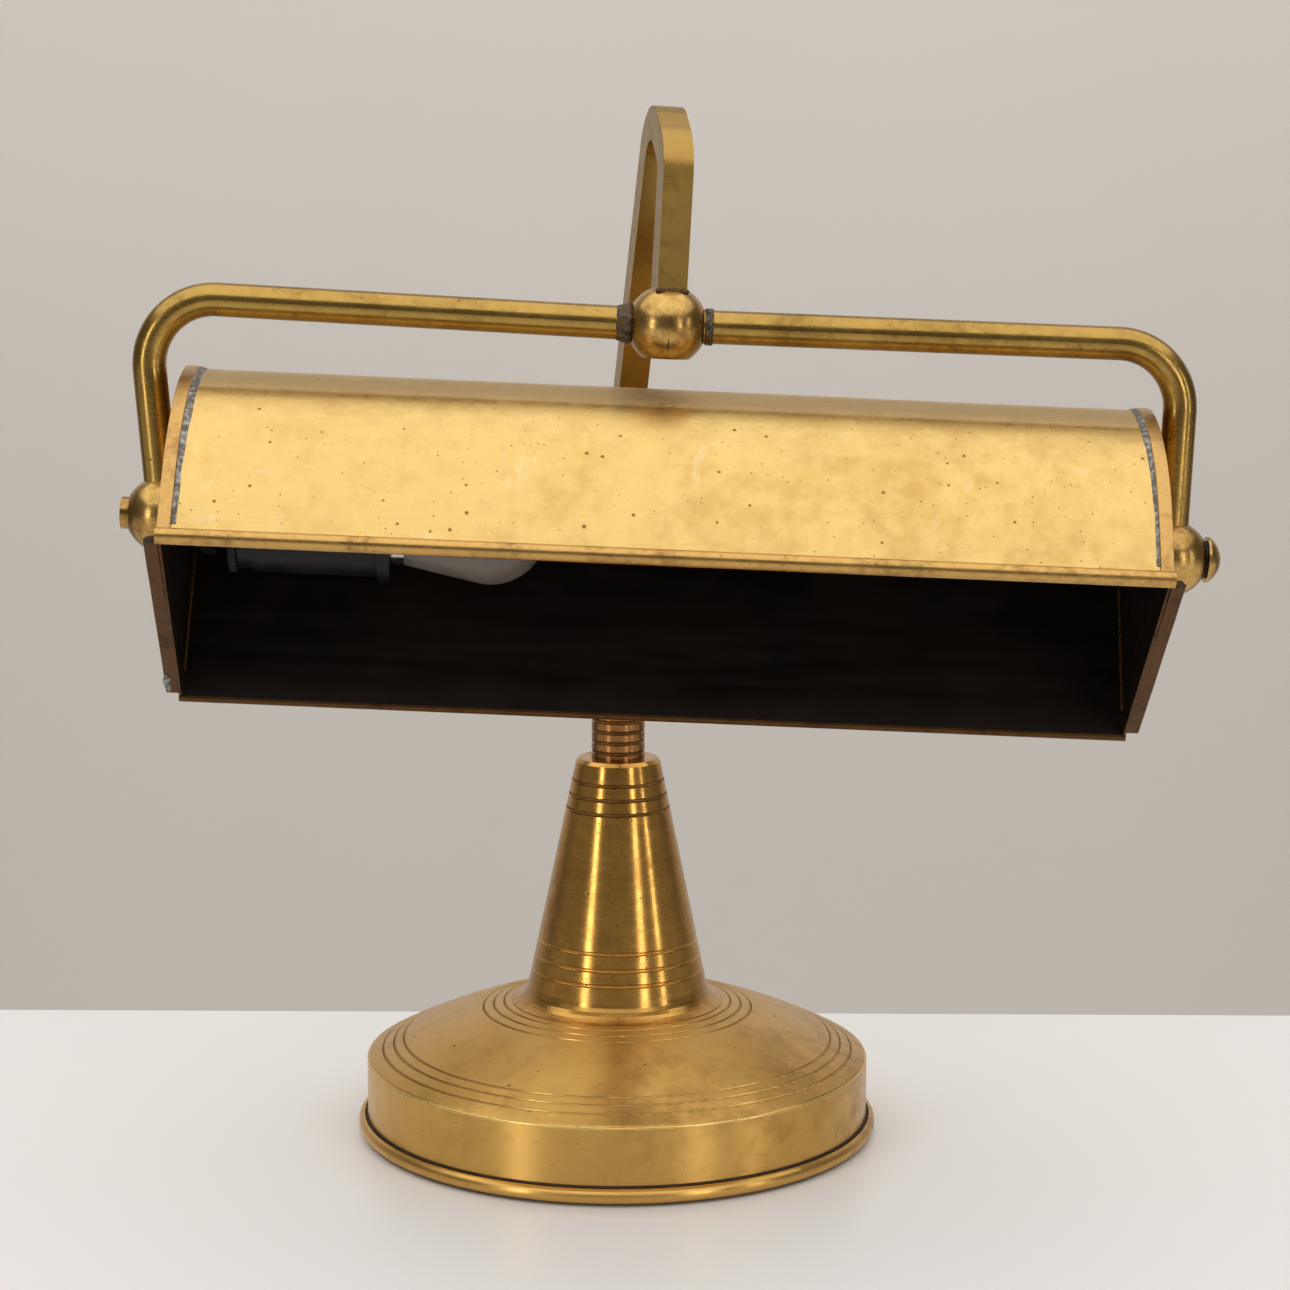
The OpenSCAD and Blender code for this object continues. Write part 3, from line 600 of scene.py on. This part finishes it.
def add_inner_seam(side, material):
    """The thin line of solder in the corner between the trough and an end cap, on the inside."""
    around = 8
    seed = side * 90
    corner_x = side * (HALF_SHADE - CAP_T - 0.2)
    rings = []
    for y, z in section(RIM_T + SHEET_T + 0.15)[2:-2]:
        r = 0.3 + 0.12 * wobble(seed, y, z, size=6)
        ring = []
        for a in angles(around):
            ring.append((corner_x + r * math.cos(a), y + r * math.sin(a), z))
        rings.append(ring)
    name = ("left" if side < 0 else "right") + "_inner_seam"
    add_piece(name, skin(rings), YOKE, "shade", [material], sharp=80)


def add_blob(name, at, size, place, body, material, seed):
    """A lump of solder or dirt: an uneven ellipsoid of the given half sizes."""
    bands = 12
    around = 20
    rings = []
    for i in range(1, bands):
        polar = math.pi * i / bands
        ring = []
        for a in angles(around):
            way = Vector((math.sin(polar) * math.cos(a), math.sin(polar) * math.sin(a), math.cos(polar)))
            r = 1 + 0.22 * wobble(*(way * 3 + Vector((seed, 0, 0))), size=1.6)
            ring.append([at[n] + size[n] * way[n] * r for n in range(3)])
        rings.append(ring)
    add_piece(name, skin(rings), place, body, [material], sharp=80)


# ---------------------------------------------------------------- lampholder and solder

def add_knurled_ring(material):
    """The lampholder's ring, ribbed round its edge for the fingers."""
    ribs = 60
    around = 6 * ribs
    rib_h = 0.22
    chamfer = 0.5
    inner_drop = -2.5
    edge_drop = -0.6
    profile = [(0, inner_drop, 0), (0, edge_drop, 0), (chamfer, 0, rib_h), (RING_L - chamfer, 0, rib_h),
               (RING_L, edge_drop, 0), (RING_L, inner_drop, 0)]
    rings = []
    for x, drop, ripple in profile:
        ring = []
        for a in angles(around):
            r = RING_R - 0.25 + drop + ripple * math.cos(ribs * a)
            ring.append((RING_AT + x, r * math.cos(a), r * math.sin(a)))
        rings.append(ring)
    add_piece("knurled_ring", skin(rings), YOKE, "shade", [material], ["holder_ring"], sharp=50)


def add_solder_ring(name, place, profile, lumpiness, material, nodes=()):
    """Lumpy solder round a tube. The profile is (distance along, radius) pairs on the frame's X axis."""
    around = 48
    rings = []
    for x, radius in profile:
        ring = []
        for a in angles(around):
            y = math.cos(a)
            z = math.sin(a)
            r = radius + lumpiness * wobble(x, radius * y, radius * z, size=1.7)
            ring.append((x, r * y, r * z))
        rings.append(ring)
    add_piece(name, skin(rings), place, "arm", [material], nodes, sharp=75)


def add_ball_solder(flux, dirt_and_shade):
    """Rough solder where the tubes and the bar meet the middle ball, and a crack in the ball."""
    right = MIDDLE_BALL @ turn(-0.3, "Y")
    left = MIDDLE_BALL @ turn(180, "Z") @ turn(-0.7, "Y")
    collar = [(11.8, 5.5), (12.0, 5.75), (13.1, 5.75), (14.2, 5.7), (14.5, 5.5)]
    heel = [(10.8, 5.4), (11.4, 6.3), (12.3, 6.6), (13.6, 5.9), (15.0, 5.6), (16.0, 5.35)]
    add_solder_ring("collar_solder", right, collar, 0.22, flux, ["yoke_collar"])
    add_solder_ring("left_tube_solder", left, heel, 0.4, flux)
    beads = [("left", (-3.4, -5.6, 10.9), (2.0, 1.0, 0.8), 3),
             ("middle", (0.4, -5.8, 11.0), (2.6, 0.9, 0.7), 8),
             ("right", (3.6, -5.5, 10.9), (1.8, 1.0, 0.9), 12)]
    for side, at, size, seed in beads:
        add_blob("bar_solder_" + side, at, size, ARM_END, "arm", flux, seed)
    crack = (0.4, -11.7, -5.6)
    add_blob("ball_crack", crack, (0.22, 0.7, 2.6), MIDDLE_BALL, "arm", dirt_and_shade, 20)


def add_corner_marks(tin, dirt_and_shade):
    """Dirt under the ends of the front lip, and solder on the foot of the left cap's flange."""
    edge = HALF_SHADE + 1.6
    corner = (SECTION_START[0] + 2.2, SECTION_START[1] - 1.6)
    add_blob("left_corner_dirt", (-edge, *corner), (2.0, 1.5, 1.3), YOKE, "shade", dirt_and_shade, 1)
    add_blob("right_corner_dirt", (edge, *corner), (1.8, 1.3, 1.2), YOKE, "shade", dirt_and_shade, 5)
    foot = section(0)[-1]
    flange_angle = math.degrees(math.atan2(foot[1] - SECTION_START[1], foot[0] - SECTION_START[0]))
    flange_foot = YOKE @ shift(-HALF_SHADE - 3.2, *foot) @ turn(flange_angle, "X")
    add_blob("left_foot_solder", (0, -7.5, 0.1), (1.3, 4.6, 0.6), flange_foot, "shade", tin, 9)


# ---------------------------------------------------------------- base

def add_rings(name, rings, thickness, material):
    """Thin rings round the base's axis, each given by its radius and height."""
    around = 192
    across = 8
    verts = []
    faces = []
    for radius, z in rings:
        first = len(verts)
        for i, a in enumerate(angles(around)):
            here = first + i * across
            ahead = first + (i + 1) % around * across
            for k, b in enumerate(angles(across)):
                r = radius + thickness * math.cos(b)
                verts.append((r * math.cos(a), r * math.sin(a), z + thickness * math.sin(b)))
                after = (k + 1) % across
                faces.append((here + k, ahead + k, ahead + after, here + after))
    add_piece(name, (verts, faces), TABLE, "base", [material], sharp=80)


def dome_z(radius):
    """The dome's height at this distance from the base's axis."""
    inward = SKIRT_R - radius
    return SKIRT_TOP + DOME_SLOPE * inward - DOME_FLATTENING * inward ** 2


def cone_r(z):
    """The cone's radius at this height."""
    return CONE_TOP_R + CONE_TAPER * (CONE_TOP - z)


def add_base_rings(dirt_and_shade, groove_dirt_and_shade, worn):
    """Dark rings in the turned grooves, which are dirt and also painted shade for the dark of the grooves,
    and the worn round edge at the top of the skirt.
    """
    dome = [(r, dome_z(r) - 0.42) for r in DOME_GROOVES]
    cone = [(cone_r(z) - 0.5, z) for z in CONE_GROOVES]
    neck = [(NECK_R - 0.5, z) for z in NECK_GROOVES]
    # Rings in the grooves: dirt, and painted shade for the dark of each groove
    add_rings("dome_groove_dirt_and_shade", dome, 0.22, groove_dirt_and_shade)
    add_rings("cone_groove_dirt_and_shade", cone, 0.36, groove_dirt_and_shade)
    add_rings("neck_groove_dirt_and_shade", neck, 0.36, groove_dirt_and_shade)
    # The bead's groove: dark dirt, and painted shade in the groove
    add_rings("bead_groove_dirt_and_shade", [(SKIRT_R + 0.05, SKIRT_GROOVE_Z + 0.1)], 0.42, dirt_and_shade)
    add_rings("skirt_edge", [(SKIRT_R - 0.55, SKIRT_TOP - 0.35)], 0.56, worn)


# ---------------------------------------------------------------- CAD nodes that keep their shape

NODES_BY_LOOK = {
    "spun": ["base_shell"],
    "turned": ["pedestal_cone"],
    "neck": ["neck_column"],
    "flat": ["arm_bar"],
    "polished": ["centre_ball", "left_ball", "right_ball", "clamp_screw", "pivot_cap_nut"],
    "drawn": ["left_tube", "right_tube"],
    "plain": ["fork_head", "knuckle_screw", "knuckle_nut", "swivel_screw", "tie_rod", "tie_rod_nut",
              "pivot_nipple", "nipple_spacer", "clamp_screw_nut", "holder_screw_shell", "holder_contact"],
    "iron": ["base_weight", "swivel_washer", "knuckle_washers", "tie_rod_washer", "nipple_lock_nut"],
    "steel": ["front_lip_wire", "pivot_washers"],
    "plastic": ["holder_body", "holder_flange", "cord_inlet_bush", "knob_washer"],
    "chrome": ["bulb_cap"],
    "glass": ["bulb_glass"],
    "felt": ["felt_pad"],
}


def dress_cad_nodes(looks):
    """Gives the CAD nodes their materials, and handled ones the rounded edges that years of use leave."""
    for look, names in NODES_BY_LOOK.items():
        for name in names:
            for slot in NODES[name].material_slots:
                slot.material = looks[look]
    round_edges(NODES["arm_bar"], 0.7, 40)
    round_edges(NODES["pivot_cap_nut"], 0.9, 40)


# ---------------------------------------------------------------- stage

def add_sheet(name, corners, material):
    """A flat rectangle of the stage."""
    mesh = bpy.data.meshes.new(name)
    mesh.from_pydata([Vector(v) * MM for v in corners], [], [(0, 1, 2, 3)])
    mesh.materials.append(material)
    sheet = bpy.data.objects.new(name, mesh)
    bpy.context.scene.collection.objects.link(sheet)


def add_stage():
    """A white table that ends behind the lamp, and a wall beyond it."""
    side = 3000
    front = -2500
    rear = 142
    drop = -900
    wall_side = 4500
    wall_y = 1750
    wall_foot = -1300
    wall_top = 4500
    table_paint = backdrop("table_paint", srgb(238, 236, 233), srgb(241, 239, 236), 0.35)
    wall_paint = backdrop("wall_paint", srgb(218, 211, 203), srgb(222, 215, 207), 0.55)
    table = [(-side, front, 0), (side, front, 0), (side, rear, 0), (-side, rear, 0)]
    table_edge = [(-side, rear, 0), (side, rear, 0), (side, rear, drop), (-side, rear, drop)]
    wall = [(-wall_side, wall_y, wall_foot), (wall_side, wall_y, wall_foot),
            (wall_side, wall_y, wall_top), (-wall_side, wall_y, wall_top)]
    add_sheet("table", table, table_paint)
    add_sheet("table_edge", table_edge, table_paint)
    add_sheet("wall", wall, wall_paint)


# ---------------------------------------------------------------- the lamp's materials

def brass_looks():
    """The kinds of brass on the lamp, by short names."""
    return {
        "spun": brass("spun_brass", srgb(212, 168, 92), srgb(172, 130, 70), cover=0.5, patch=60,
                      polish=(0.26, 0.42), marks=0.25, lathed=True),
        "turned": brass("turned_brass", srgb(198, 150, 76), srgb(144, 102, 50), cover=0.45, patch=40,
                        polish=(0.2, 0.32), marks=0.2, lathed=True),
        "neck": brass("neck_brass", srgb(158, 112, 66), srgb(84, 56, 30), cover=0.5, patch=14,
                      polish=(0.22, 0.36), marks=0.2, lathed=True),
        "drawn": brass("drawn_brass", srgb(170, 137, 72), srgb(130, 99, 50), MIDDLE_BALL, cover=0.55,
                       patch=26, polish=(0.18, 0.32), marks=0.3, grain=(0.05, 1, 1)),
        "flat": brass("flat_bar_brass", srgb(162, 129, 68), srgb(118, 88, 46), ARM, cover=0.5,
                      patch=40, polish=(0.26, 0.4), marks=0.3, grain=(0.04, 1, 1)),
        "polished": brass("polished_brass", srgb(194, 157, 90), srgb(132, 98, 54), MIDDLE_BALL,
                          cover=0.7, patch=20, polish=(0.2, 0.32), marks=0.3),
        "sheet": brass("sheet_brass", srgb(206, 173, 106), srgb(186, 148, 84), YOKE, cover=0.55,
                       patch=48, polish=(0.24, 0.36), marks=0.6, grain=(0.08, 1, 1), bloom=0.35,
                       dust_and_sheen_above=42),
        "rim": brass("rim_brass", srgb(190, 150, 90), srgb(130, 92, 52), YOKE, cover=0.5, patch=16,
                     polish=(0.26, 0.42), marks=0.3),
        "lip": brass("lip_brass", srgb(192, 152, 88), srgb(120, 86, 48), YOKE, cover=0.5, patch=18,
                     polish=(0.24, 0.4), marks=0.3, grain=(0.05, 1, 1)),
        "brown": brass("brown_brass", srgb(90, 62, 36), srgb(46, 30, 17), YOKE, cover=0.5, patch=14,
                       polish=(0.28, 0.45), marks=0.2, grain=(0.05, 1, 1)),
        "plain": brass("plain_brass", srgb(206, 164, 88), AGED_BRASS, cover=0.4, patch=12),
        "worn": brass("worn_edge_brass", srgb(232, 196, 120), AGED_BRASS, cover=0.25, patch=12,
                      polish=(0.2, 0.3)),
    }


def other_looks():
    """Everything on the lamp that isn't brass, by short names."""
    return {
        "inside": inside_with_painted_shade("inside_with_painted_shade"),
        "tin": solder("solder_grey", srgb(84, 80, 74), srgb(172, 168, 158), srgb(116, 90, 54), cover=0.25),
        "flux": solder("solder_brown", srgb(52, 44, 36), srgb(116, 104, 88), srgb(84, 60, 34), cover=0.7),
        "plastic": black_plastic("black_plastic"),
        "iron": dull_metal("dark_iron", srgb(38, 36, 34), srgb(62, 60, 57), (0.45, 0.7), 0.7),
        "steel": dull_metal("dull_steel", srgb(92, 88, 82), srgb(140, 136, 128)),
        "chrome": dull_metal("bright_cap", srgb(196, 196, 198), srgb(226, 226, 228), (0.12, 0.22)),
        # Dark dirt, also used as painted shade in the bead's groove
        "dirt_and_shade": dull_metal("dark_dirt_and_shade", srgb(40, 30, 20), srgb(68, 50, 32), (0.6, 0.8), 0.2),
        # Brown dirt for the grooves, which also stands in for their shade: painted shade
        "groove_dirt_and_shade": dull_metal("brown_dirt_and_shade", srgb(112, 82, 44), srgb(150, 112, 62), (0.4, 0.6), 0.8),
        "glass": frosted_glass("frosted_glass"),
        "felt": felt("felt"),
    }


# ---------------------------------------------------------------- all together

def add_shade(looks):
    """The shade's pieces: the trough, both ends with their solder, and the two rolled edges."""
    add_trough(looks["sheet"], looks["inside"])
    for side in (-1, 1):
        add_end_cap(side, looks["rim"], looks["inside"], looks["brown"])
        add_cap_flange(side, looks["brown"])
        add_seam(side, looks["tin"])
        add_inner_seam(side, looks["worn"])
    add_lip("front_roll", SECTION_START, FRONT_LIP_R, "front_lip", looks["lip"])
    add_lip("rear_fold", section(0)[-1], REAR_LIP_R, "rear_lip", looks["brown"])


def build():
    add_camera()
    light_studio()
    add_stage()
    looks = brass_looks() | other_looks()
    dress_cad_nodes(looks)
    add_shade(looks)
    add_knurled_ring(looks["plastic"])
    add_ball_solder(looks["flux"], looks["dirt_and_shade"])
    add_corner_marks(looks["tin"], looks["dirt_and_shade"])
    add_base_rings(looks["dirt_and_shade"], looks["groove_dirt_and_shade"], looks["worn"])


build()
